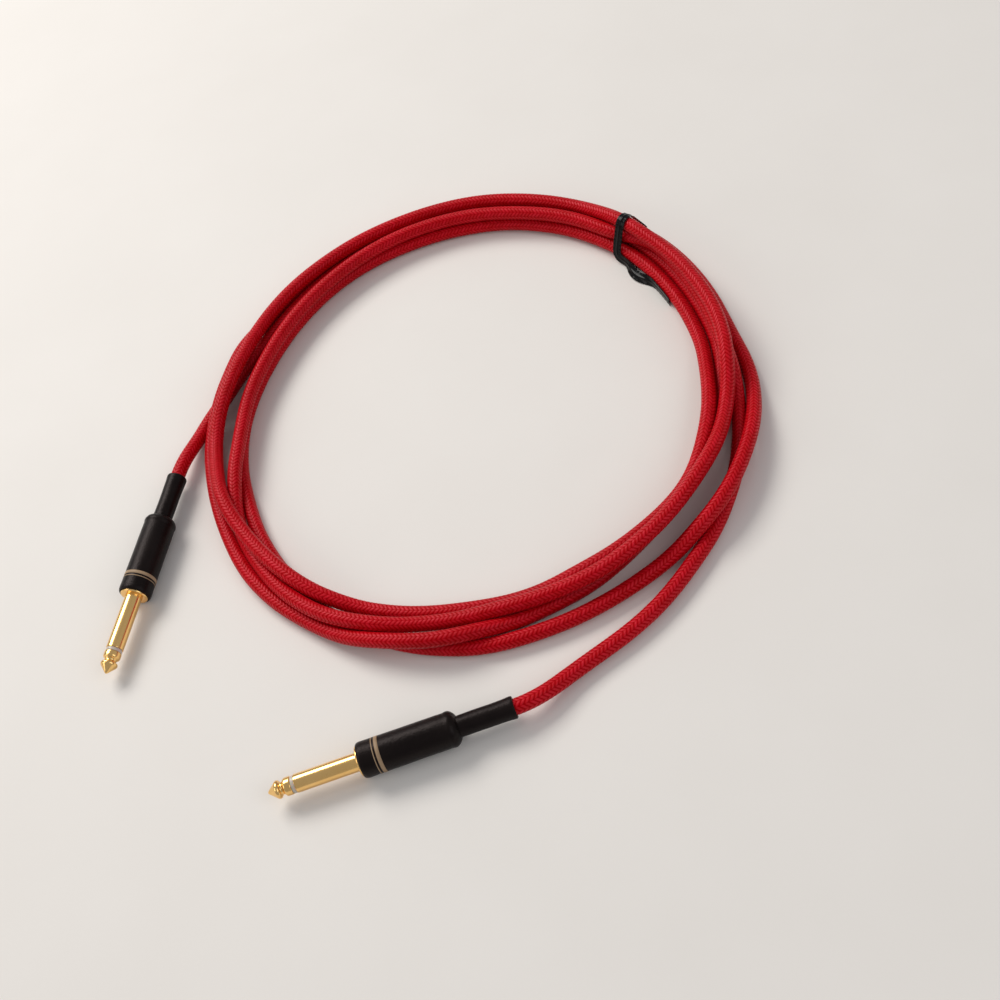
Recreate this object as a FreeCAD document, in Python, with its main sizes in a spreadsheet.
import FreeCAD, Part
import math
import os
import Sketcher

# Coiled instrument cable with two straight quarter-inch plugs, millimetres, +Z up.
# The cable lies flat in a ring of several turns held by one twist tie; both tails leave the ring
# and carry a plug. Origin: middle of the bounding box in plan, underside of the whole at z = 0.

Vector = FreeCAD.Vector
doc = FreeCAD.newDocument("instrument_cable")

# ---------------------------------------------------------------- driving dimensions
# Alias, value or formula, note. Lengths inside a plug are measured along its axis from the plug
# datum, growing from the cable towards the tip: "rear" is the cable side, "front" the tip side.
SIZES = [
    # cable layers, radii
    ("conductor_r", 0.45, "stranded copper core"),
    ("dielectric_ri", 0.63, "foam dielectric, inside"),
    ("dielectric_ro", 1.15, "foam dielectric, outside"),
    ("shield_ri", 1.33, "copper braid shield, inside"),
    ("shield_ro", 1.50, "copper braid shield, outside"),
    ("jacket_ri", 1.68, "vinyl jacket, inside"),
    ("jacket_ro", 2.20, "vinyl jacket, outside"),
    ("braid_ri", 2.38, "woven textile cover, inside"),
    ("cable_r", 2.85, "woven textile cover, outside"),
    # where each layer stops inside the plug
    ("braid_end", 27.0, "woven cover stops"),
    ("jacket_end", 35.5, "jacket stops"),
    ("shield_end", 37.3, "shield stops"),
    ("dielectric_end", 37.6, "dielectric stops"),
    ("conductor_end", 42.5, "conductor stops"),
    # where the tail meets the ring
    ("knuckle_r", "=cable_r", "flexing ball at the root of a tail"),
    ("socket_r", 3.05, "hollow in the ring end round the ball"),
    # boot
    ("boot_start", 4.7, "rear of boot"),
    ("boot_end", 29.0, "front of boot"),
    ("boot_bore_r", 2.90, "boot bore"),
    ("boot_r", 3.72, "boot outside"),
    ("boot_flare_r", 3.86, "boot rear lip"),
    # barrel
    ("barrel_start", 25.0, "rear of barrel shell"),
    ("barrel_end", 57.0, "front of barrel shell"),
    ("barrel_r", 5.65, "barrel shell outside"),
    ("barrel_wall_end", 27.2, "rear wall of shell stops"),
    ("barrel_bore_r", 3.93, "rear wall bore"),
    ("cavity_r", 4.35, "inside of shell, thread crest"),
    ("barrel_round_r", 1.2, "rear corner of shell"),
    ("mouth_start", 56.2, "plain mouth ahead of thread"),
    ("mouth_r", 4.95, "plain mouth"),
    ("cover_gap", 0.03, "cover over shell"),
    ("cover_start", 24.2, "rear of heat-shrink cover"),
    ("cover_end", 58.4, "front lip of cover"),
    ("cover_r", 6.15, "cover outside"),
    ("cover_neck_r", 3.84, "cover bore at the boot"),
    ("cover_lip_r", 5.32, "cover lip bore round the flange"),
    ("liner_start", 27.4, "insulating liner"),
    ("liner_end", 48.6, "insulating liner"),
    ("liner_ri", 4.0, "liner bore"),
    ("liner_ro", 4.3, "liner outside"),
    # thread, 3/8-32 right hand
    ("thread_pitch", 0.794, "thread pitch"),
    ("thread_core_r", 4.21, "outside thread root"),
    ("thread_crest_r", 4.70, "outside thread crest"),
    ("thread_groove_r", 4.84, "inside thread root"),
    ("thread_base_w", 0.50, "ridge width at its base"),
    ("thread_crest_w", 0.15, "ridge width at its crest"),
    ("thread_start", 50.6, "first ridge centre"),
    ("thread_turns", 6.0, "ridge turns"),
    # sleeve contact
    ("hub_start", 50.0, "rear of hub"),
    ("flange_start", 57.1, "flange back"),
    ("flange_end", 59.0, "flange face"),
    ("flange_r", 5.2, "flange"),
    ("undercut_r", 4.15, "thread relief"),
    ("sleeve_r", 3.175, "plug sleeve, quarter inch"),
    ("sleeve_end", 81.0, "front of sleeve"),
    ("sleeve_bore_r", 2.1, "sleeve bore"),
    ("rod_tube_ri", 1.25, "rod insulator bore"),
    ("rod_tube_ro", 2.05, "rod insulator outside"),
    ("rod_tube_start", 49.25, "rod insulator rear"),
    # tip contact
    ("ring_start", 81.05, "tip insulator"),
    ("ring_end", 82.30, "tip insulator"),
    ("ring_r", 3.0, "tip insulator outside"),
    ("tip_start", 82.35, "back of tip"),
    ("tip_end", 90.75, "point of tip"),
    ("tip_r", 3.12, "collar and bead of tip"),
    ("tip_neck_r", 2.2, "neck of tip"),
    ("rod_r", 1.2, "centre rod"),
    ("rod_start", 45.2, "rear of rod"),
    ("rivet_r", 1.9, "riveted head"),
    ("rivet_end", 46.75, "riveted head stops"),
    # lugs and washer
    ("washer_start", 47.6, "rear washer"),
    ("washer_end", 49.2, "rear washer"),
    ("washer_r", 2.8, "rear washer"),
    ("washer_bore_r", 1.25, "rear washer bore"),
    ("tip_lug_start", 46.85, "tip lug plate"),
    ("tip_lug_end", 47.55, "tip lug plate"),
    ("tip_lug_r", 2.7, "tip lug plate"),
    ("ground_lug_start", 49.25, "ground lug plate"),
    ("ground_lug_end", 49.95, "ground lug plate"),
    ("ground_lug_r", 3.9, "ground lug plate"),
    ("ground_lug_bore_r", 2.15, "ground lug bore"),
    ("strap_w", 2.4, "ground lug strap"),
    ("strap_z", 3.7, "ground lug strap, outer face below axis"),
    ("strap_t", 0.75, "ground lug strap thickness"),
    ("clamp_start", 31.0, "cable clamp"),
    ("clamp_end", 35.0, "cable clamp"),
    ("clamp_ri", 2.30, "cable clamp bore"),
    ("clamp_ro", 3.10, "cable clamp outside"),
    # solder
    ("tip_solder_start", 39.0, "solder at the tip lug, rear"),
    ("tip_solder_length", 2.5, "solder at the tip lug"),
    ("ground_solder_start", 35.7, "solder at the ground lug, rear"),
    ("ground_solder_length", 1.4, "solder at the ground lug"),
    # twist tie
    ("tie_w", 4.0, "strip width"),
    ("tie_t", 0.26, "strip thickness at the wings"),
    ("tie_ridge_t", 0.62, "strip thickness over the wire"),
    ("tie_ridge_w", 0.9, "ridge width"),
    ("tie_wire_r", 0.15, "steel wire"),
    ("tie_hole_r", 0.18, "hollow for the wire"),
]
sheet = doc.addObject("Spreadsheet::Sheet", "Sizes")
for row, (alias, content, note) in enumerate(SIZES, start=1):
    sheet.set("A%d" % row, alias)
    sheet.set("B%d" % row, str(content))
    sheet.set("C%d" % row, note)
    sheet.setAlias("B%d" % row, alias)
doc.recompute()


def size(alias):
    return float(sheet.get(alias))


class Dim:
    """A dimension: its value, and the sheet expression that gives it."""

    def __init__(self, value, expression):
        self.value = float(value)
        self.expression = expression

    def _join(self, other, sign, operation):
        other = as_dim(other)
        expression = "(%s %s %s)" % (self.expression, sign, other.expression)
        return Dim(operation(self.value, other.value), expression)

    def __add__(self, other):
        return self._join(other, "+", lambda a, b: a + b)

    def __sub__(self, other):
        return self._join(other, "-", lambda a, b: a - b)

    def __mul__(self, other):
        return self._join(other, "*", lambda a, b: a * b)

    def __truediv__(self, other):
        return self._join(other, "/", lambda a, b: a / b)


def as_dim(number):
    return number if isinstance(number, Dim) else Dim(number, "%g" % number)


def dim(alias):
    return Dim(size(alias), "Sizes.%s" % alias)


def dims(*aliases):
    return [dim(alias) for alias in aliases]


# ---------------------------------------------------------------- frames of the two plugs
# Rear of each boot, and the heading of the plug in degrees from +X.
END_A = Vector(-107.071, 1.356, 6.978)
END_B = Vector(30.051, -111.418, 6.978)
ANGLE_A = -99.488
ANGLE_B = -164.759


def plug_frame(end, angle):
    """x runs along the plug from cable to tip; the rear of the boot is at x = boot_start."""
    turn = FreeCAD.Rotation(Vector(0, 0, 1), angle)
    return FreeCAD.Placement(end - turn.multVec(Vector(size("boot_start"), 0, 0)), turn)


FRAMES = {"a": plug_frame(END_A, ANGLE_A), "b": plug_frame(END_B, ANGLE_B)}

# ---------------------------------------------------------------- document helpers
parts = []


def add_object(kind, name):
    obj = doc.addObject(kind, name)
    obj.Label = name
    return obj


def keep(obj, placement=None):
    """Marks an object as a finished piece, to be written to its own file."""
    if placement is not None:
        obj.Placement = placement
    parts.append(obj)


def keep_shape(name, shape):
    feature = add_object("Part::Feature", name)
    feature.Shape = shape
    keep(feature)


# ---------------------------------------------------------------- sketch helpers
# Sketcher's numbers for the fixed geometry and for the points of an edge.
ORIGIN = H_AXIS = -1
V_AXIS = -2
START, END, CENTRE = 1, 2, 3


def new_sketch(body, name, role="XY_Plane", offset=0.0):
    """Sketch on one of the body's own planes, moved along its normal by the offset."""
    sketch = body.newObject("Sketcher::SketchObject", name)
    plane = next(f for f in body.Origin.OriginFeatures if f.Role == role)
    sketch.AttachmentSupport = [(plane, "")]
    sketch.MapMode = "FlatFace"
    if offset:
        sketch.AttachmentOffset = FreeCAD.Placement(Vector(0, 0, offset), FreeCAD.Rotation())
    return sketch


def constrain(sketch, *definition):
    return sketch.addConstraint(Sketcher.Constraint(*definition))


def bind(sketch, dimension, *definition):
    """Constraint whose value follows the sheet."""
    index = constrain(sketch, *definition, dimension.value)
    sketch.setExpression("Constraints[%d]" % index, dimension.expression)


def outline(sketch, points, below=False):
    """Closed outline. Each entry is (x, y) or (x, y, x_mid, y_mid): the edge from this corner to
    the next bows through the mid point. Corners are held by distances bound to the sheet.
    With below=True, y is measured down from the axis."""
    side = -1 if below else 1
    rows = [tuple(as_dim(c) for c in point) for point in points]

    def place(x, y):
        return Vector(x.value, side * y.value, 0)

    edges = []
    for i, row in enumerate(rows):
        start, end = place(*row[:2]), place(*rows[(i + 1) % len(rows)][:2])
        first, last, radius = START, END, None
        if len(row) > 2:
            middle = place(*row[2:])
            curve = Part.Arc(start, middle, end)
            radius = curve.toShape().Curve.Radius
            # A sketch arc runs anticlockwise, so a clockwise one is drawn from its far end.
            if (middle - start).cross(end - middle).z <= 0:
                curve = Part.Arc(end, middle, start)
                first, last = END, START
        else:
            curve = Part.LineSegment(start, end)
        edges.append((sketch.addGeometry(curve, False), first, last, radius))
    for i, (edge, first, last, radius) in enumerate(edges):
        following = edges[(i + 1) % len(edges)]
        constrain(sketch, "Coincident", edge, last, following[0], following[1])
    for (x, y, *middle), (edge, first, last, radius) in zip(rows, edges):
        if abs(x.value) < 1e-9:
            constrain(sketch, "PointOnObject", edge, first, V_AXIS)
        else:
            bind(sketch, x, "DistanceX", ORIGIN, START, edge, first)
        if abs(y.value) < 1e-9:
            constrain(sketch, "PointOnObject", edge, first, H_AXIS)
        elif below:
            bind(sketch, y, "DistanceY", edge, first, ORIGIN, START)
        else:
            bind(sketch, y, "DistanceY", ORIGIN, START, edge, first)
        if radius:
            constrain(sketch, "Radius", edge, radius)


def locked_polygon(sketch, points):
    """Closed polygon with its edges locked in place."""
    corners = [Vector(x, y, 0) for x, y in points]
    edges = [
        sketch.addGeometry(Part.LineSegment(start, end), False)
        for start, end in zip(corners, corners[1:] + corners[:1])
    ]
    for edge, following in zip(edges, edges[1:] + edges[:1]):
        constrain(sketch, "Coincident", edge, END, following, START)
    for edge in edges:
        constrain(sketch, "Block", edge)


def lathe(name, points):
    """Turned piece about its own x axis; points are (x along the axis, radius)."""
    body = add_object("PartDesign::Body", name)
    sketch = new_sketch(body, name + "_profile")
    outline(sketch, points)
    turned = body.newObject("PartDesign::Revolution", name + "_turn")
    turned.Profile = sketch
    turned.ReferenceAxis = (sketch, ["H_Axis"])
    turned.Angle = 360
    sketch.Visibility = False
    doc.recompute()
    return body


def tube(name, start, end, inner, outer, chamfer=0.0):
    """Turned tube from four aliases, its outer edges chamfered on request."""
    x0, x1, ri, ro = dims(start, end, inner, outer)
    points = [(x0, ri), (x1, ri)]
    if chamfer:
        points += [(x1, ro - chamfer), (x1 - chamfer, ro), (x0 + chamfer, ro), (x0, ro - chamfer)]
    else:
        points += [(x1, ro), (x0, ro)]
    return lathe(name, points)


def pad(body, sketch, name, length, midplane=False):
    feature = body.newObject("PartDesign::Pad", name)
    feature.Profile = sketch
    feature.setExpression("Length", length.expression)
    if midplane:
        feature.Midplane = True
    sketch.Visibility = False
    doc.recompute()


def thread(body, kind, sketch_name, name, x, base, crest, turns):
    """Helix of a tapered section centred on x; base and crest are (radius, width)."""
    sketch = new_sketch(body, sketch_name)
    (base_r, base_w), (crest_r, crest_w) = base, crest
    outline(sketch, [
        (x - base_w / 2, base_r),
        (x + base_w / 2, base_r),
        (x + crest_w / 2, crest_r),
        (x - crest_w / 2, crest_r),
    ])
    helix = body.newObject(kind, name)
    helix.Profile = sketch
    helix.ReferenceAxis = (sketch, ["H_Axis"])
    helix.Mode = 1  # pitch and turns
    helix.setExpression("Pitch", "Sizes.thread_pitch")
    helix.setExpression("Turns", turns.expression)
    helix.Turns = turns.value
    helix.LeftHanded = False
    sketch.Visibility = False
    doc.recompute()


# ---------------------------------------------------------------- cable run
# Stations along the cable between the two boots: x, y, z, heading, climb (degrees).
# Between two stations the cable follows two tangent arcs.
PATH = [
    (-104.76, 12.26, 6.18, 75.02, -9.31), (-102.49, 20.31, 4.67, 73.37, -9.42),
    (-102.20, 21.26, 4.51, 73.12, -8.71), (-98.20, 32.51, 3.73, 66.18, -0.52),
    (-92.89, 43.24, 3.73, 64.65, 0.06), (-87.87, 54.13, 3.73, 64.10, 0),
    (-82.16, 64.66, 3.73, 59.23, 0), (-75.93, 74.89, 3.73, 58.10, 0),
    (-69.34, 84.90, 3.73, 54.71, 0), (-62.03, 94.39, 3.73, 50.07, 0),
    (-53.86, 103.14, 3.73, 43.32, 0), (-44.56, 110.69, 3.73, 34.73, 0),
    (-34.26, 116.80, 3.73, 26.64, 0), (-23.20, 121.39, 3.73, 18.63, 0),
    (-11.65, 124.54, 3.73, 12.19, 0), (0.18, 126.46, 3.73, 6.08, 0),
    (12.14, 127.00, 3.73, -1.04, 0), (24.07, 126.00, 3.73, -8.37, 0),
    (35.80, 123.58, 3.73, -14.96, 0), (47.16, 119.78, 3.73, -22.22, 0),
    (57.91, 114.50, 3.73, -30.13, 0), (67.86, 107.84, 3.73, -37.17, 0),
    (77.08, 100.19, 3.73, -42.10, 0), (85.52, 91.69, 3.73, -48.84, 0),
    (92.69, 82.11, 3.73, -57.40, 0), (98.53, 71.65, 3.73, -63.78, 0),
    (103.30, 60.66, 3.73, -69.26, 0), (107.02, 49.28, 3.73, -74.42, 0),
    (109.74, 37.61, 3.73, -80.54, 0), (110.50, 25.67, 3.73, -91.50, 0),
    (109.58, 13.73, 3.73, -96.08, 0), (107.69, 1.90, 3.73, -103.32, 0),
    (104.05, -9.50, 3.73, -111.81, 0), (98.95, -20.34, 3.73, -118.40, 0),
    (92.68, -30.55, 3.73, -124.75, 0), (85.34, -40.02, 3.73, -130.48, 0),
    (77.25, -48.85, 3.73, -134.25, 0), (68.60, -57.14, 3.73, -138.52, 0),
    (59.20, -64.56, 3.73, -145.63, 0.01), (48.78, -70.46, 3.73, -154.57, -0.15),
    (37.78, -75.19, 3.74, -157.88, 1.13), (26.67, -79.40, 5.08, -161.51, 13.96),
    (15.62, -82.77, 8.24, -164.63, 12.54), (3.93, -84.79, 9.62, -176.73, 1.36),
    (-8.02, -84.23, 9.51, 172.57, -2.14), (-19.75, -82.06, 8.53, 166.14, -8.23),
    (-30.88, -78.29, 6.27, 155.47, -11.63), (-41.19, -72.54, 4.31, 147.81, -6.16),
    (-51.16, -65.92, 3.70, 145.20, -0.32), (-60.57, -58.53, 3.74, 137.67, -0.04),
    (-68.90, -49.92, 3.73, 130.27, 0.03), (-75.89, -40.20, 3.73, 121.56, -0.01),
    (-81.62, -29.68, 3.73, 116.34, 0), (-86.58, -18.77, 3.73, 112.21, 0),
    (-90.64, -7.50, 3.73, 107.41, 0.01), (-93.74, 4.07, 3.73, 102.55, 0),
    (-95.63, 15.88, 3.97, 93.46, 5.14), (-94.71, 27.51, 6.49, 79.69, 16.24),
    (-92.30, 38.94, 9.09, 77.68, 6.62), (-89.69, 50.62, 9.58, 77.41, -1.00),
    (-87.02, 62.26, 8.73, 75.39, -8.42), (-83.41, 73.39, 6.20, 68.77, -13.21),
    (-78.43, 84.07, 4.12, 60.27, -5.58), (-71.58, 93.87, 3.72, 50.41, -0.12),
    (-63.43, 102.65, 3.73, 44.42, 0.01), (-54.49, 110.62, 3.73, 38.86, 0),
    (-44.74, 117.57, 3.73, 32.02, 0), (-34.25, 123.35, 3.73, 25.68, 0),
    (-23.18, 127.94, 3.73, 19.38, 0), (-11.67, 131.23, 3.73, 12.29, 0),
    (0.18, 132.98, 3.73, 4.52, 0), (12.15, 133.18, 3.73, -2.45, 0),
    (24.07, 132.01, 3.73, -8.57, 0), (35.81, 129.62, 3.73, -14.59, 0),
    (47.22, 125.99, 3.73, -20.64, 0), (58.15, 121.10, 3.73, -27.86, 0),
    (68.34, 114.80, 3.73, -35.37, 0), (77.74, 107.37, 3.73, -40.90, 0),
    (86.48, 99.18, 3.73, -45.86, 0), (94.26, 90.08, 3.73, -53.35, 0),
    (100.77, 80.03, 3.73, -60.51, 0), (106.13, 69.32, 3.73, -66.12, 0),
    (110.44, 58.14, 3.73, -71.74, 0), (113.72, 46.62, 3.73, -75.65, -0.01),
    (116.74, 35.02, 3.73, -74.63, 0.09), (119.67, 23.40, 3.71, -79.16, -0.34),
    (120.89, 11.51, 4.04, -89.19, 4.66), (120.23, -0.33, 5.69, -96.93, 10.49),
    (117.97, -11.90, 7.79, -105.24, 8.50), (114.13, -23.17, 9.06, -112.09, 3.86),
    (108.99, -33.97, 9.59, -119.15, 1.36), (102.32, -43.90, 9.50, -129.35, -3.60),
    (94.06, -52.32, 7.61, -138.51, -14.84), (84.95, -59.52, 4.67, -144.41, -10.12),
    (75.07, -66.20, 3.73, -147.34, -0.32), (64.77, -72.32, 3.73, -151.57, -0.02),
    (53.97, -77.51, 3.73, -157.19, 0), (42.70, -81.57, 3.73, -163.13, 0),
    (31.10, -84.57, 3.73, -167.91, 0), (19.26, -86.28, 3.73, -176.50, 0),
    (7.30, -85.86, 3.73, 173.35, 0), (-4.50, -83.77, 3.73, 166.11, 0),
    (-15.85, -79.99, 3.73, 156.96, 0), (-26.57, -74.63, 3.73, 150.74, 0),
    (-36.86, -68.51, 3.73, 146.72, 0), (-46.12, -60.93, 3.73, 135.28, 0),
    (-54.15, -52.04, 3.73, 129.56, 0), (-61.43, -42.53, 3.73, 125.00, 0),
    (-67.85, -32.42, 3.73, 119.65, 0), (-73.04, -21.62, 3.73, 111.93, 0),
    (-77.19, -10.38, 3.73, 108.82, 0), (-80.58, 1.11, 3.73, 103.02, 0),
    (-82.44, 12.93, 3.73, 95.39, 0), (-82.79, 24.90, 3.73, 87.65, 0),
    (-81.48, 36.81, 3.73, 80.01, 0), (-78.76, 48.47, 3.73, 73.87, 0),
    (-74.88, 59.81, 3.73, 68.46, 0), (-69.96, 70.73, 3.73, 62.90, 0),
    (-63.94, 81.08, 3.73, 56.63, 0), (-56.74, 90.65, 3.73, 49.24, 0),
    (-48.30, 99.15, 3.73, 41.13, 0), (-38.74, 106.35, 3.73, 32.64, 0),
    (-28.19, 112.00, 3.73, 23.95, 0), (-16.96, 116.18, 3.73, 17.26, 0),
    (-5.34, 119.08, 3.73, 10.65, 0), (6.54, 120.57, 3.73, 3.69, 0),
    (18.51, 120.63, 3.73, -3.60, 0), (30.36, 118.93, 3.73, -12.61, 0),
    (41.84, 115.51, 3.73, -20.30, 0), (52.77, 110.63, 3.73, -27.97, 0),
    (62.92, 104.27, 3.73, -35.97, 0), (72.24, 96.75, 3.73, -41.56, 0),
    (80.75, 88.32, 3.73, -48.81, 0), (87.88, 78.70, 3.73, -57.87, 0),
    (93.66, 68.21, 3.73, -64.00, -0.01), (98.37, 57.20, 3.73, -69.72, -0.03),
    (101.97, 45.77, 3.72, -75.32, 0.42), (104.27, 34.04, 4.26, -83.34, 5.90),
    (104.92, 22.21, 6.00, -88.95, 9.10), (104.84, 10.35, 7.71, -92.15, 7.05),
    (103.75, -1.52, 8.88, -98.98, 4.18), (101.22, -13.21, 9.50, -105.10, 1.78),
    (97.50, -24.59, 9.57, -112.00, -0.93), (91.78, -35.09, 9.33, -125.37, -0.74),
    (83.90, -44.09, 9.39, -135.99, 0.95), (74.81, -51.89, 9.56, -142.43, 0.26),
    (64.83, -58.49, 9.35, -151.22, -2.74), (53.97, -63.35, 8.08, -159.83, -9.78),
    (42.83, -66.94, 5.53, -164.78, -12.22), (31.25, -69.47, 3.86, -170.08, -3.20),
    (19.37, -70.94, 3.73, -176.22, 0.04), (7.39, -71.33, 3.72, -179.58, -0.01),
    (-4.58, -70.86, 3.74, 174.43, -0.03), (-16.39, -68.91, 3.71, 167.45, 0.68),
    (-27.92, -65.88, 4.70, 162.84, 11.22), (-38.81, -61.95, 7.79, 156.96, 15.40),
    (-48.96, -56.22, 10.39, 144.34, 8.96), (-58.13, -48.59, 11.45, 136.73, 1.33),
    (-66.42, -39.96, 11.35, 131.13, -0.80), (-73.91, -30.61, 11.64, 126.32, 4.25),
    (-80.46, -20.66, 12.82, 119.60, 3.41), (-85.49, -9.86, 11.98, 110.80, -10.03),
    (-89.06, 1.30, 9.51, 105.35, -11.11), (-91.52, 12.93, 8.32, 96.57, 1.68),
    (-91.28, 24.66, 10.36, 80.83, 16.24), (-88.78, 36.03, 13.12, 76.26, 7.86),
    (-85.90, 47.64, 13.60, 75.64, -1.82), (-82.92, 59.20, 12.63, 75.88, -7.38),
    (-79.95, 70.66, 10.76, 74.09, -9.66), (-75.86, 81.79, 9.16, 64.31, -4.61),
    (-69.48, 91.89, 8.85, 51.62, 0.76), (-61.43, 100.76, 8.94, 44.34, -0.14),
    (-52.42, 108.65, 8.88, 38.20, -0.29), (-42.62, 115.53, 8.85, 31.71, -0.04),
    (-32.05, 121.17, 8.79, 24.55, -0.59), (-20.91, 125.55, 8.70, 18.38, -0.17),
    (-9.34, 128.66, 8.72, 11.55, 0.42), (2.52, 130.31, 8.87, 4.40, 0.85),
    (14.49, 130.47, 9.02, -2.96, 0.51), (26.39, 129.07, 9.05, -10.42, -0.20),
    (38.03, 126.26, 9.00, -16.57, -0.27), (49.31, 122.23, 8.92, -23.16, -0.17),
    (59.85, 116.59, 9.32, -34.28, 5.67), (68.86, 109.00, 11.36, -44.82, 12.93),
    (76.66, 100.31, 14.04, -50.74, 10.99), (84.08, 91.01, 15.32, -51.04, 0.36),
    (91.56, 81.65, 15.08, -52.78, -0.07), (98.21, 71.70, 15.29, -60.02, 1.44),
    (103.63, 61.02, 15.45, -65.78, 0.17), (108.07, 49.89, 15.45, -71.02, -0.16),
    (111.23, 38.35, 15.37, -78.78, -0.66), (112.67, 26.47, 14.99, -87.25, -4.59),
    (112.51, 14.75, 12.64, -94.17, -16.98), (111.00, 3.24, 9.83, -100.61, -4.80),
    (108.39, -8.40, 10.49, -104.84, 8.99), (104.58, -19.54, 12.65, -113.44, 9.96),
    (99.02, -30.04, 14.07, -121.80, 3.40), (92.21, -39.89, 14.25, -127.52, -0.92),
    (84.38, -48.95, 13.91, -134.62, -2.25), (75.46, -56.93, 13.39, -141.55, -2.66),
    (65.59, -63.64, 12.58, -150.69, -5.61), (54.71, -68.36, 11.00, -161.66, -8.47),
    (43.25, -71.51, 9.53, -166.64, -5.07), (31.53, -73.84, 8.67, -171.42, -4.21),
    (19.69, -75.43, 7.63, -172.86, -5.55), (7.80, -76.41, 6.66, -177.82, -3.00),
    (-4.17, -76.62, 6.74, -179.46, 5.11), (-15.99, -76.44, 8.66, 175.02, 9.84),
    (-27.68, -74.25, 9.77, 164.11, -0.21), (-38.79, -69.84, 9.20, 152.50, -3.65),
    (-48.84, -63.38, 8.55, 142.33, -2.95), (-57.69, -55.36, 7.69, 133.42, -5.07),
    (-65.30, -46.17, 6.61, 126.58, -4.98), (-71.96, -36.25, 5.82, 120.64, -1.70),
    (-77.19, -25.51, 6.28, 110.40, 6.63), (-79.90, -14.03, 8.18, 97.28, 9.64),
    (-81.06, -2.18, 9.50, 93.52, 2.58), (-81.29, 9.79, 9.50, 89.41, -1.23),
    (-81.06, 21.77, 9.31, 88.46, -0.31), (-80.25, 33.72, 9.33, 82.89, 0.34),
    (-77.93, 45.47, 9.36, 75.12, -0.06), (-74.30, 56.89, 9.35, 69.83, 0.02),
    (-69.67, 67.94, 9.37, 64.49, 0.06), (-63.92, 78.44, 9.37, 57.96, -0.02),
    (-56.93, 88.16, 9.36, 50.57, 0), (-48.79, 96.95, 9.39, 43.98, 0.32),
    (-39.71, 104.76, 9.48, 37.14, 0.40), (-29.70, 111.33, 9.54, 29.26, 0.10),
    (-18.84, 116.38, 9.53, 20.65, -0.09), (-7.37, 119.82, 9.52, 12.77, -0.02),
    (4.46, 121.63, 9.53, 4.47, 0.17), (16.43, 121.64, 9.59, -4.35, 0.31),
    (28.28, 119.93, 9.63, -11.63, 0.03), (39.90, 116.98, 9.60, -16.76, -0.37),
    (51.16, 112.90, 9.45, -23.61, -0.94), (61.67, 107.19, 9.30, -34.05, -0.22),
    (71.27, 100.03, 9.25, -35.94, -0.86), (81.47, 93.75, 9.35, -28.83, 2.35),
    (90.79, 86.36, 9.52, -49.96, -0.85), (97.22, 76.28, 9.47, -62.85, 0.31),
    (102.23, 65.39, 9.54, -67.18, 0.25), (106.49, 54.20, 9.56, -71.55, 0),
    (109.74, 42.67, 9.58, -76.85, 0.03), (112.10, 30.92, 9.38, -79.54, -2.67),
    (114.17, 19.21, 8.02, -82.82, -11.97), (114.79, 7.63, 5.04, -89.83, -12.94),
    (114.42, -4.24, 3.74, -93.95, -0.60), (112.98, -16.13, 3.73, -100.12, 0.01),
    (110.15, -27.77, 3.73, -107.37, 0), (105.98, -39.00, 3.73, -112.87, 0),
    (100.73, -49.76, 3.73, -119.64, 0), (94.11, -59.74, 3.73, -126.59, 0),
    (86.78, -69.23, 3.73, -129.43, 0), (78.67, -78.04, 3.73, -136.09, -0.02),
    (69.55, -85.80, 3.73, -142.96, 0.08), (59.68, -92.60, 3.70, -147.03, -0.20),
    (58.84, -93.14, 3.70, -147.05, -0.09), (49.34, -99.60, 4.03, -143.88, 4.53),
    (40.27, -106.45, 5.71, -145.27, 10.11),
]


def direction(azimuth, climb):
    a, c = math.radians(azimuth), math.radians(climb)
    return Vector(math.cos(c) * math.cos(a), math.cos(c) * math.sin(a), math.sin(c))


# Stations as (point, direction). The first and last are taken from the plugs.
PLUG_DIRECTIONS = {side: FRAMES[side].Rotation.multVec(Vector(1, 0, 0)) for side in "ab"}
STATIONS = (
    [(END_A, PLUG_DIRECTIONS["a"] * -1)]
    + [(Vector(x, y, z), direction(azimuth, climb)) for x, y, z, azimuth, climb in PATH]
    + [(END_B, PLUG_DIRECTIONS["b"])]
)
# Stations at which the two tails flex.
FLEX_A = 2
FLEX_B = 257

# Name, inner radius, outer radius, where the layer stops in the plug.
LAYERS = [
    ("conductor", None, "conductor_r", "conductor_end"),
    ("dielectric", "dielectric_ri", "dielectric_ro", "dielectric_end"),
    ("shield", "shield_ri", "shield_ro", "shield_end"),
    ("jacket", "jacket_ri", "jacket_ro", "jacket_end"),
    ("braid", "braid_ri", "cable_r", "braid_end"),
]


def arcs_of(stations):
    """Two arcs, tangent to each other, for each step; an arc is (start, direction, end)."""
    arcs = []
    for (start, start_dir), (end, end_dir) in zip(stations, stations[1:]):
        chord, dir_sum = end - start, start_dir + end_dir
        spread = 2 * (1 - start_dir.dot(end_dir))
        if spread < 1e-9:
            reach = chord.dot(chord) / (4 * chord.dot(end_dir))
        else:
            along = chord.dot(dir_sum)
            reach = (-along + math.sqrt(along ** 2 + spread * chord.dot(chord))) / spread
        joint = (start + start_dir * reach + end - end_dir * reach) * 0.5
        joint_dir = joint - start - start_dir * reach
        joint_dir.normalize()
        arcs += [(start, start_dir, joint), (joint, joint_dir, end)]
    return arcs


def circle_at(centre, normal, seam, radius):
    """Circle across the normal, its seam in the given direction."""
    side = normal.cross(seam)
    circle = Part.makeCircle(radius)
    circle.Placement = FreeCAD.Placement(FreeCAD.Matrix(
        seam.x, side.x, normal.x, centre.x,
        seam.y, side.y, normal.y, centre.y,
        seam.z, side.z, normal.z, centre.z,
        0, 0, 0, 1,
    ))
    return circle


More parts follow.
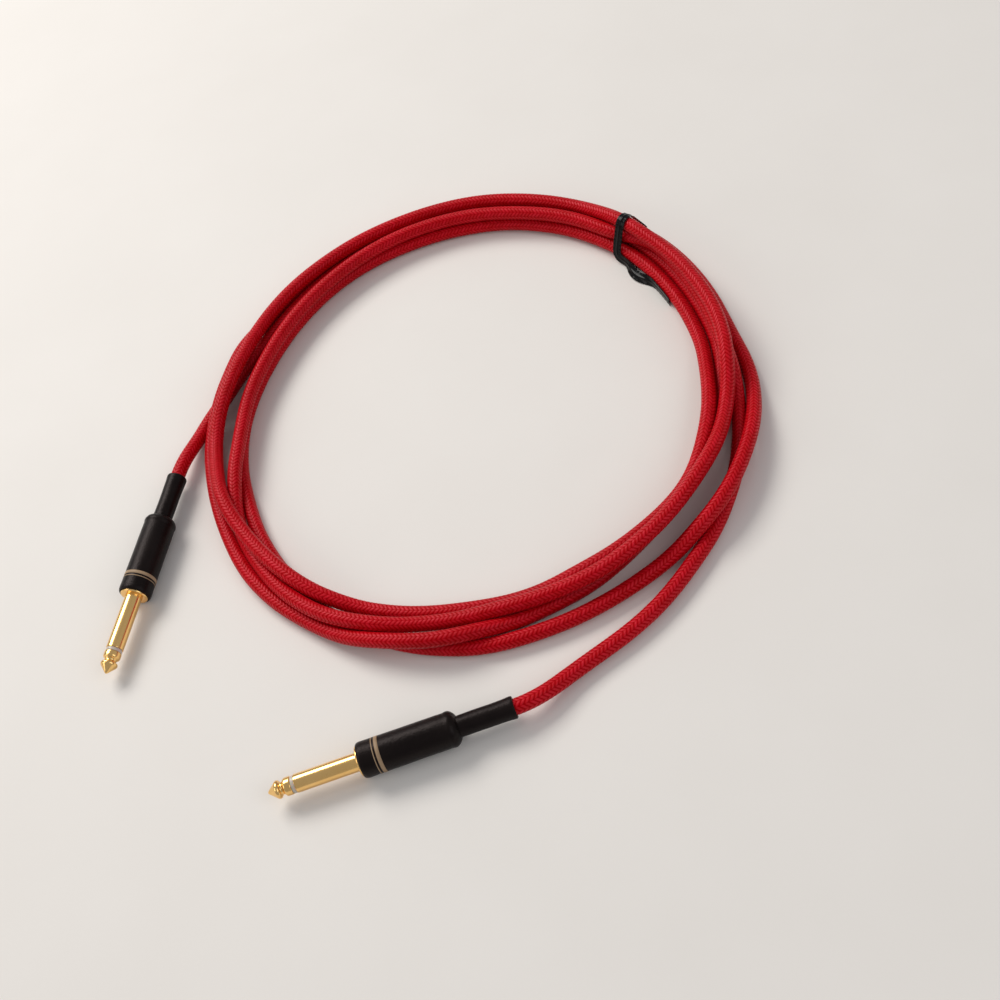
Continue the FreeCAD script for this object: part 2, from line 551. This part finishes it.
def upright_seam(normal):
    seam = Vector(0, 0, 1) - normal * normal.z
    seam.normalize()
    return seam


def skin(arcs, radius):
    """One circle swept along every arc in turn; returns the faces and the last seam direction."""
    seam = upright_seam(arcs[0][1])
    faces = []
    for start, tangent, end in arcs:
        circle = circle_at(start, tangent, seam, radius)
        chord = end - start
        inward = chord - tangent * chord.dot(tangent)
        rise = inward.Length
        if rise < 1e-6:
            faces += circle.extrude(chord).Faces
            continue
        inward.normalize()
        bend = chord.dot(chord) / (2 * rise)
        turn = math.degrees(2 * math.atan2(rise, chord.dot(tangent)))
        axis = tangent.cross(inward)
        faces += circle.revolve(start + inward * bend, axis, turn).Faces
        seam = FreeCAD.Rotation(axis, turn).multVec(seam)
    return faces, seam


def end_face(centre, normal, seam, outer, inner):
    face = Part.Face(Part.Wire([circle_at(centre, normal, seam, outer)]))
    if inner:
        hole = Part.Face(Part.Wire([circle_at(centre, normal, seam, inner)]))
        face = face.cut(hole).Faces[0]
    return face


def last_direction(arc):
    start, tangent, end = arc
    chord = end - start
    result = chord * (2 * chord.dot(tangent) / chord.dot(chord)) - tangent
    result.normalize()
    return result


def layer(arcs, outer, inner):
    """Closed solid of one cable layer along the arcs."""
    start, start_dir, end = arcs[0][0], arcs[0][1], arcs[-1][2]
    faces, seam = skin(arcs, outer)
    if inner:
        faces += skin(arcs, inner)[0]
    end_dir = last_direction(arcs[-1])
    seam = seam - end_dir * seam.dot(end_dir)
    seam.normalize()
    faces.append(end_face(start, start_dir, upright_seam(start_dir), outer, inner))
    faces.append(end_face(end, end_dir, seam, outer, inner))
    shell = Part.makeShell(faces)
    shell.sewShape()
    solid = Part.makeSolid(shell)
    if solid.Volume < 0:
        solid.reverse()
    return solid


def tail_run(side, stop):
    """Arcs of a tail, with the straight piece that runs into its plug as far as the stop."""
    inside, rear = [FRAMES[side].multVec(Vector(size(a), 0, 0)) for a in (stop, "boot_start")]
    if side == "a":
        return [(inside, PLUG_DIRECTIONS["a"] * -1, rear)] + arcs_of(STATIONS[: FLEX_A + 1])
    return arcs_of(STATIONS[FLEX_B:]) + [(rear, PLUG_DIRECTIONS["b"], inside)]


def cable():
    # The ring runs from just past one flexing knuckle to just short of the other.
    ring_arcs = arcs_of(STATIONS[FLEX_A + 1 : FLEX_B])
    (pivot_a, dir_a), (pivot_b, dir_b) = STATIONS[FLEX_A], STATIONS[FLEX_B]
    hollow = size("socket_r")
    sockets = Part.makeSphere(hollow, pivot_a).fuse(Part.makeSphere(hollow, pivot_b))
    for name, inner_alias, outer_alias, stop in LAYERS:
        outer = size(outer_alias)
        inner = size(inner_alias) if inner_alias else 0.0
        keep_shape("ring_" + name, layer(ring_arcs, outer, inner).cut(sockets).Solids[0])
        for side in "ab":
            keep_shape("tail_%s_%s" % (side, name), layer(tail_run(side, stop), outer, inner))

    # Half balls at the tail roots, domed towards the ring.
    for side, pivot, ringward in (("a", pivot_a, dir_a), ("b", pivot_b, dir_b * -1)):
        ball = add_object("Part::Sphere", "tail_%s_knuckle" % side)
        ball.setExpression("Radius", "Sizes.knuckle_r")
        ball.Angle1 = 0
        ball.Angle2 = 90
        ball.Angle3 = 360
        turn = FreeCAD.Rotation(Vector(0, 0, 1), ringward)
        keep(ball, FreeCAD.Placement(pivot, turn))


cable()

# ---------------------------------------------------------------- plugs
ROUND_MID = 0.292893  # 1 - cos 45: the middle of a quarter round, as a share of its radius

# Solder cross-sections as (y, z) about the plug axis.
TIP_SOLDER = [
    (-0.95, 0.59), (-0.95, -0.2), (-0.5, -0.75), (0.5, -0.75), (0.95, -0.2), (0.95, 0.59),
]
GROUND_SOLDER = [
    (-1.0, -2.92), (-0.75, -2.1), (-0.4, -1.56), (0.4, -1.56), (0.75, -2.1), (1.0, -2.92),
]


def boot(prefix):
    """Heat-shrink boot with a slight lip at the cable end."""
    start, end, bore, outer, lip = dims(
        "boot_start", "boot_end", "boot_bore_r", "boot_r", "boot_flare_r"
    )
    chamfer = 0.3
    return lathe(prefix + "boot", [
        (start, bore),
        (end, bore),
        (end, outer - chamfer),
        (end - 0.5, outer),
        (start + 3.2, outer),
        (start + 1.4, lip),
        (start + chamfer, lip),
        (start, lip - chamfer),
    ])


def barrel_shell(prefix):
    """Barrel shell: rear wall, cavity, inside thread, plain mouth."""
    start, end, wall_end, mouth = dims("barrel_start", "barrel_end", "barrel_wall_end", "mouth_start")
    outer, bore, cavity, mouth_r = dims("barrel_r", "barrel_bore_r", "cavity_r", "mouth_r")
    corner = dim("barrel_round_r")
    lead_in = 0.3
    chamfer = 0.45
    shell = lathe(prefix + "barrel_shell", [
        (start, bore),
        (wall_end, bore),
        (wall_end, cavity),
        (mouth - lead_in, cavity),
        (mouth, cavity + lead_in),
        (mouth, mouth_r),
        (end, mouth_r),
        (end, outer - chamfer),
        (end - chamfer, outer),
        (start + corner, outer, start + corner * ROUND_MID, outer - corner * ROUND_MID),
        (start, outer - corner),
    ])
    # The groove section reaches below the cavity wall and widens to match.
    overlap = 0.06
    widening = 0.043
    extra_turns = 2.5
    pitch = dim("thread_pitch")
    thread(
        shell, "PartDesign::SubtractiveHelix", prefix + "groove", prefix + "inside_thread",
        x=dim("thread_start") - pitch,
        base=(cavity - overlap, pitch - dim("thread_crest_w") + widening),
        crest=(dim("thread_groove_r"), pitch - dim("thread_base_w")),
        turns=dim("thread_turns") + extra_turns,
    )
    return shell


def barrel_cover(prefix):
    """Heat-shrink cover over the barrel, drawn down at the rear and curled over the mouth."""
    shell_start, shell_end, shell_r = dims("barrel_start", "barrel_end", "barrel_r")
    start, end, neck, lip, outer = dims(
        "cover_start", "cover_end", "cover_neck_r", "cover_lip_r", "cover_r"
    )
    gap, corner = dims("cover_gap", "barrel_round_r")
    inner = shell_r + gap
    diagonal_gap = 0.021  # the gap, resolved along x and radius at the middle of the round
    return lathe(prefix + "barrel_cover", [
        (start, neck),
        (shell_start - gap, neck),
        (
            shell_start - gap,
            shell_r - corner,
            shell_start + corner * ROUND_MID - diagonal_gap,
            shell_r - corner * ROUND_MID + diagonal_gap,
        ),
        (shell_start + corner, inner),
        (shell_end, inner),
        (shell_end + 0.45, lip),
        (end, lip),
        (end, lip + 0.25, end - 0.12, outer - 0.32),
        (shell_end + 0.4, outer - 0.08),
        (shell_end - 0.6, outer),
        (shell_start + 1.3, outer, start + 0.58, outer - 0.52),
        (start, shell_r - corner + 0.15),
    ])


def sleeve_contact(prefix):
    """Hub with outside thread, flange and quarter-inch sleeve."""
    hub, flange_back, flange_face, end = dims("hub_start", "flange_start", "flange_end", "sleeve_end")
    core, sleeve_r, bore, flange_r, undercut = dims(
        "thread_core_r", "sleeve_r", "sleeve_bore_r", "flange_r", "undercut_r"
    )
    end_chamfer = 0.05
    flange_chamfer = 0.3
    hub_chamfer = 0.2
    sleeve = lathe(prefix + "sleeve_contact", [
        (hub, bore),
        (end, bore),
        (end, sleeve_r - end_chamfer),
        (end - end_chamfer, sleeve_r),
        (flange_face, sleeve_r),
        (flange_face, flange_r - flange_chamfer),
        (flange_face - flange_chamfer, flange_r),
        (flange_back, flange_r),
        (flange_back, undercut),
        (flange_back - 1.1, undercut),
        (flange_back - 1.16, core),
        (hub + hub_chamfer, core),
        (hub, core - hub_chamfer),
    ])
    # The ridge section is sunk into the hub and widens to match.
    overlap = 0.08
    widening = 0.057
    thread(
        sleeve, "PartDesign::AdditiveHelix", prefix + "ridge", prefix + "outside_thread",
        x=dim("thread_start"),
        base=(core - overlap, dim("thread_base_w") + widening),
        crest=(dim("thread_crest_r"), dim("thread_crest_w")),
        turns=dim("thread_turns"),
    )
    return sleeve


def tip_contact(prefix):
    """Tip with its rod and riveted head in one piece."""
    back, point, bead, neck = dims("tip_start", "tip_end", "tip_r", "tip_neck_r")
    rod_start, rod, head_end, head = dims("rod_start", "rod_r", "rivet_end", "rivet_r")
    return lathe(prefix + "tip_contact", [
        (rod_start, 0),
        # cone and bead
        (point, 0),
        (point, 0.3),
        (point - 0.3, 0.55),
        (point - 2.5, bead - 0.62),
        (point - 2.8, bead - 0.34),
        (point - 3.1, bead - 0.14),
        (point - 3.4, bead - 0.035),
        (point - 3.7, bead - 0.02, point - 4.2, bead - 0.28),
        # neck
        (point - 4.6, neck + 0.1),
        (point - 4.9, neck),
        (point - 5.15, neck, point - 5.5, neck + 0.2),
        # collar
        (point - 5.95, bead - 0.12),
        (point - 6.4, bead),
        (back + 0.3, bead - 0.015),
        (back, bead - 0.25),
        # rod and riveted head
        (back, rod),
        (head_end, rod),
        (head_end, head, rod_start + 0.6, head - 0.18),
        (rod_start, 0.9),
    ])


def tip_lug(prefix):
    """Round plate in front of the riveted head, its strap stepped down to the conductor."""
    plate_start, plate_end = dims("tip_lug_start", "tip_lug_end")
    lug = tube(prefix + "tip_lug", "tip_lug_start", "tip_lug_end", "washer_bore_r", "tip_lug_r")
    step_rear, step_front = 43.2, 43.9
    tongue_rear, tongue_bottom, tongue_top = 37.9, 0.62, 1.2
    arm_bottom = 2.1
    sketch = new_sketch(lug, prefix + "tip_lug_strap", "XZ_Plane")
    outline(sketch, [
        (plate_end - 0.001, 2.0),
        (plate_end - 0.001, 2.68),
        (step_rear, 2.8),
        (step_rear, tongue_top),
        (tongue_rear, tongue_top),
        (tongue_rear, tongue_bottom),
        (step_front, tongue_bottom),
        (step_front, arm_bottom),
        (plate_start + 0.1, arm_bottom),
    ])
    pad(lug, sketch, prefix + "tip_lug_strap_pad", dim("strap_w") / 2, midplane=True)
    return lug


def clamp_outline(sketch):
    """Open clamp: 260 degrees of a ring, the opening at the top."""
    angles = [math.radians(140), math.radians(400)]
    radii = dims("clamp_ro", "clamp_ri")
    arcs = []
    for radius in radii:
        circle = Part.Circle(Vector(0, 0, 0), Vector(0, 0, 1), radius.value)
        arcs.append(sketch.addGeometry(Part.ArcOfCircle(circle, *angles), False))
    outer_arc, inner_arc = arcs
    for angle, arc_end in zip(angles, (START, END)):
        ray = Vector(math.cos(angle), math.sin(angle), 0)
        edge = Part.LineSegment(ray * radii[1].value, ray * radii[0].value)
        line = sketch.addGeometry(edge, False)
        constrain(sketch, "Coincident", line, START, inner_arc, arc_end)
        constrain(sketch, "Coincident", line, END, outer_arc, arc_end)
    for arc in arcs:
        constrain(sketch, "Coincident", arc, CENTRE, ORIGIN, START)
    for arc, radius in zip(arcs, radii):
        bind(sketch, radius, "Radius", arc)


def ground_lug(prefix):
    """Round plate, strap along the cable, clamp round the jacket."""
    lug = tube(
        prefix + "ground_lug",
        "ground_lug_start", "ground_lug_end", "ground_lug_bore_r", "ground_lug_r",
    )
    depth, thickness, rear, clamp_end = dims("strap_z", "strap_t", "clamp_start", "clamp_end")
    front = dim("ground_lug_end") - 0.1
    top = depth - thickness
    sketch = new_sketch(lug, prefix + "ground_strap", "XZ_Plane")
    outline(sketch, [(rear, depth), (front, depth), (front, top), (rear, top)], below=True)
    pad(lug, sketch, prefix + "ground_strap_pad", dim("strap_w"), midplane=True)
    sketch = new_sketch(lug, prefix + "clamp_ring", "YZ_Plane", rear.value)
    clamp_outline(sketch)
    pad(lug, sketch, prefix + "clamp_pad", clamp_end - rear)
    return lug


def solder(prefix, piece, section, bore=None):
    """Block of solder along the axis, with a round bore on request."""
    name = prefix + piece
    body = add_object("PartDesign::Body", name)
    sketch = new_sketch(body, name + "_section", "YZ_Plane", size(piece + "_start"))
    locked_polygon(sketch, section)
    if bore:
        circle = Part.Circle(Vector(0, 0, 0), Vector(0, 0, 1), bore.value)
        hole = sketch.addGeometry(circle, False)
        constrain(sketch, "Coincident", hole, CENTRE, ORIGIN, START)
        bind(sketch, bore, "Radius", hole)
    pad(body, sketch, name + "_pad", dim(piece + "_length"))
    return body


def plug(side):
    prefix = "plug_%s_" % side
    conductor_gap = 0.03
    for piece in (
        boot(prefix),
        barrel_shell(prefix),
        barrel_cover(prefix),
        tube(prefix + "barrel_liner", "liner_start", "liner_end", "liner_ri", "liner_ro"),
        sleeve_contact(prefix),
        tube(prefix + "rod_insulator", "rod_tube_start", "sleeve_end", "rod_tube_ri", "rod_tube_ro"),
        tube(prefix + "tip_insulator", "ring_start", "ring_end", "rod_tube_ri", "ring_r", 0.12),
        tip_contact(prefix),
        tube(
            prefix + "rear_washer",
            "washer_start", "washer_end", "washer_bore_r", "washer_r", chamfer=0.15,
        ),
        tip_lug(prefix),
        ground_lug(prefix),
        solder(prefix, "tip_solder", TIP_SOLDER, bore=dim("conductor_r") + conductor_gap),
        solder(prefix, "ground_solder", GROUND_SOLDER),
    ):
        keep(piece, FRAMES[side])


plug("a")
plug("b")

# ---------------------------------------------------------------- twist tie
# Stations along the strip: centre x, y, z, then the direction its face looks.
TIE = [
    (78.513, 95.194, 0.310, 0, 0, -1), (79.366, 96.175, 0.310, 0, 0, -1),
    (80.219, 97.156, 0.310, 0, 0, -1), (81.071, 98.138, 0.310, 0, 0, -1),
    (81.924, 99.119, 0.310, 0, 0, -1), (82.777, 100.100, 0.310, 0, 0, -1),
    (83.631, 101.082, 0.317, 0.0150, 0.0172, -0.9997),
    (84.483, 102.062, 0.432, 0.1231, 0.1416, -0.9822),
    (85.279, 102.978, 0.876, 0.3329, 0.3829, -0.8617),
    (85.910, 103.703, 1.732, 0.5233, 0.6020, -0.6030),
    (86.278, 104.128, 2.891, 0.6347, 0.7302, -0.2529),
    (86.330, 104.186, 4.177, 0.6504, 0.7483, 0.1305),
    (86.084, 103.904, 5.418, 0.5975, 0.6874, 0.4129),
    (85.681, 103.440, 6.568, 0.5670, 0.6522, 0.5031),
    (85.248, 102.942, 7.689, 0.5649, 0.6498, 0.5086),
    (84.814, 102.443, 8.808, 0.5649, 0.6498, 0.5086),
    (84.380, 101.944, 9.927, 0.5649, 0.6498, 0.5086),
    (83.947, 101.445, 11.047, 0.5649, 0.6498, 0.5086),
    (83.513, 100.946, 12.166, 0.5649, 0.6498, 0.5086),
    (83.079, 100.447, 13.285, 0.5649, 0.6498, 0.5086),
    (82.645, 99.948, 14.405, 0.5649, 0.6498, 0.5086),
    (82.205, 99.442, 15.521, 0.5550, 0.6385, 0.5332),
    (81.703, 98.865, 16.577, 0.4949, 0.5694, 0.6564),
    (81.075, 98.142, 17.462, 0.3917, 0.4506, 0.8022),
    (80.337, 97.293, 18.123, 0.2626, 0.3021, 0.9164),
    (79.515, 96.347, 18.446, 0.0489, 0.0563, 0.9972),
    (78.676, 95.382, 18.293, -0.2030, -0.2335, 0.9509),
    (77.939, 94.534, 17.664, -0.4252, -0.4891, 0.7616),
    (77.398, 93.912, 16.667, -0.5635, -0.6483, 0.5121),
    (77.026, 93.484, 15.493, -0.6053, -0.6963, 0.3856),
    (76.707, 93.117, 14.286, -0.6091, -0.7007, 0.3714),
    (76.390, 92.752, 13.079, -0.6091, -0.7007, 0.3714),
    (76.073, 92.388, 11.872, -0.6091, -0.7007, 0.3714),
    (75.757, 92.024, 10.665, -0.6091, -0.7007, 0.3714),
    (75.440, 91.659, 9.458, -0.6091, -0.7007, 0.3714),
    (75.123, 91.295, 8.251, -0.6091, -0.7007, 0.3714),
    (74.821, 90.925, 7.051, -0.6106, -0.7024, 0.3657),
    (74.594, 90.516, 5.897, -0.6123, -0.7044, 0.3590),
    (74.557, 90.002, 4.854, -0.6135, -0.7057, 0.3544),
    (74.803, 89.345, 4.007, -0.6138, -0.7060, 0.3533),
    (75.351, 88.570, 3.430, -0.6205, -0.7091, 0.3349),
    (76.164, 87.698, 3.111, -0.6447, -0.7161, 0.2675),
    (77.117, 86.695, 2.924, -0.6733, -0.7132, 0.1949),
    (78.012, 85.498, 2.740, -0.6851, -0.6931, 0.2243),
    (78.736, 84.112, 2.540, -0.6653, -0.6495, 0.3681),
    (79.342, 82.633, 2.369, -0.6093, -0.5763, 0.5446),
    (79.945, 81.174, 2.249, -0.5317, -0.4869, 0.6930),
    (80.626, 79.804, 2.178, -0.4577, -0.4051, 0.7915),
    (81.428, 78.555, 2.160, -0.4154, -0.3545, 0.8377),
    (82.367, 77.428, 2.198, -0.4231, -0.3475, 0.8368),
    (83.429, 76.398, 2.284, -0.4822, -0.3816, 0.7886),
    (84.563, 75.418, 2.400, -0.5766, -0.4407, 0.6880),
    (85.700, 74.430, 2.522, -0.6779, -0.5011, 0.5379),
    (86.764, 73.378, 2.625, -0.7586, -0.5424, 0.3610),
    (87.699, 72.227, 2.691, -0.8066, -0.5575, 0.1965),
    (88.503, 70.983, 2.720, -0.8291, -0.5533, 0.0797),
    (89.221, 69.683, 2.727, -0.8407, -0.5412, 0.0210),
    (89.902, 68.364, 2.728, -0.8497, -0.5272, 0.0026),
    (90.562, 67.036, 2.728, -0.8584, -0.5130, 0), (91.205, 65.703, 2.728, -0.8668, -0.4986, 0),
    (91.830, 64.364, 2.728, -0.8750, -0.4841, 0), (92.437, 63.020, 2.728, -0.8830, -0.4694, 0),
    (93.028, 61.670, 2.728, -0.8907, -0.4547, 0), (93.607, 60.316, 2.728, -0.8981, -0.4398, 0),
]


def tie_loft(section):
    """Loft of one cross-section, given as (across the strip, towards its face)."""
    centres = [Vector(*row[:3]) for row in TIE]
    spine = Part.BSplineCurve()
    spine.interpolate(centres)
    wires = []
    for centre, row in zip(centres, TIE):
        tangent = spine.tangent(spine.parameter(centre))[0]
        facing = Vector(*row[3:])
        facing = facing - tangent * facing.dot(tangent)
        facing.normalize()
        across = tangent.cross(facing)
        points = [centre + across * a + facing * b for a, b in section]
        wires.append(Part.makePolygon(points + [points[0]]))
    return Part.makeLoft(wires, True, False)


def octagon(radius):
    """Corners of an octagon with the given corner radius."""
    angles = [2 * math.pi * i / 8 for i in range(8)]
    return [(radius * math.cos(angle), radius * math.sin(angle)) for angle in angles]


def strip_section():
    """Flat wings and a ridge over the wire on both faces."""
    wing, flat = size("tie_w") / 2, size("tie_t") / 2
    foot, top = size("tie_ridge_w") / 2, size("tie_ridge_t") / 2
    crest = foot * 0.55
    lower = [
        (-wing, -flat), (-foot, -flat), (-crest, -top), (crest, -top), (foot, -flat), (wing, -flat),
    ]
    return lower + [(-x, -y) for x, y in lower]


# The hollow's flats, not its corners, lie at tie_hole_r.
hollow_section = octagon(size("tie_hole_r") / math.cos(math.pi / 8))
strip = tie_loft(strip_section()).cut(tie_loft(hollow_section))
keep_shape("tie_strip", strip.Solids[0] if strip.Solids else strip)
keep_shape("tie_wire", tie_loft(octagon(size("tie_wire_r"))))

# ---------------------------------------------------------------- write the pieces
doc.recompute()
bad = []
for obj in doc.Objects:
    if any(state in obj.State for state in ("Invalid", "Error")):
        bad.append("%s state %s" % (obj.Name, obj.State))
for obj in parts:
    if obj.Shape.isNull() or not obj.Shape.isValid() or len(obj.Shape.Solids) != 1:
        bad.append("%s null, not valid or not one solid" % obj.Label)
if bad:
    raise RuntimeError("; ".join(bad))
os.makedirs("parts", exist_ok=True)
for obj in parts:
    obj.Shape.exportStep("parts/%s.step" % obj.Label)
